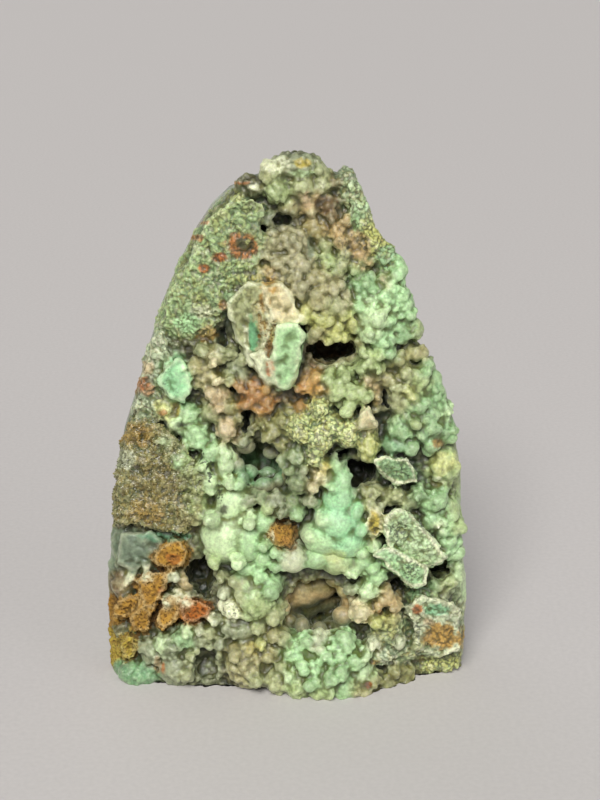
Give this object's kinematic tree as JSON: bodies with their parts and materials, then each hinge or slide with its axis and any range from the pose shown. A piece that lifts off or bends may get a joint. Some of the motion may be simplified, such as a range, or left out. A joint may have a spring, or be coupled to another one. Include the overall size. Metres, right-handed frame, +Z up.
{
  "type": "smithsonite mineral specimen",
  "caption": "Free-standing mineral specimen: a broken face of green botryoidal smithsonite with brown limonite and lined hollows, sawn and polished behind, on a flat sawn base.",
  "frame": {"origin": "centre of the box around the stone, on the floor under its sawn base", "axes": "+Z up, -Y out of the broken green face towards the viewer, +X to the viewer's right"},
  "size_m": [0.1378, 0.0752, 0.2016],
  "materials": {
    "botryoidal_smithsonite": "waxy translucent green botryoids with brown limonite, polished on the back and sides",
    "teal_lining": "waxy grey-green rounded lining",
    "brown_lining": "smooth brown-grey rounded lining"
  },
  "bodies": {
    "root": {"smithsonite_rock": "botryoidal_smithsonite", "central_hollow_crust": "teal_lining", "lower_hollow_crust": "brown_lining"}
  },
  "joints": []
}
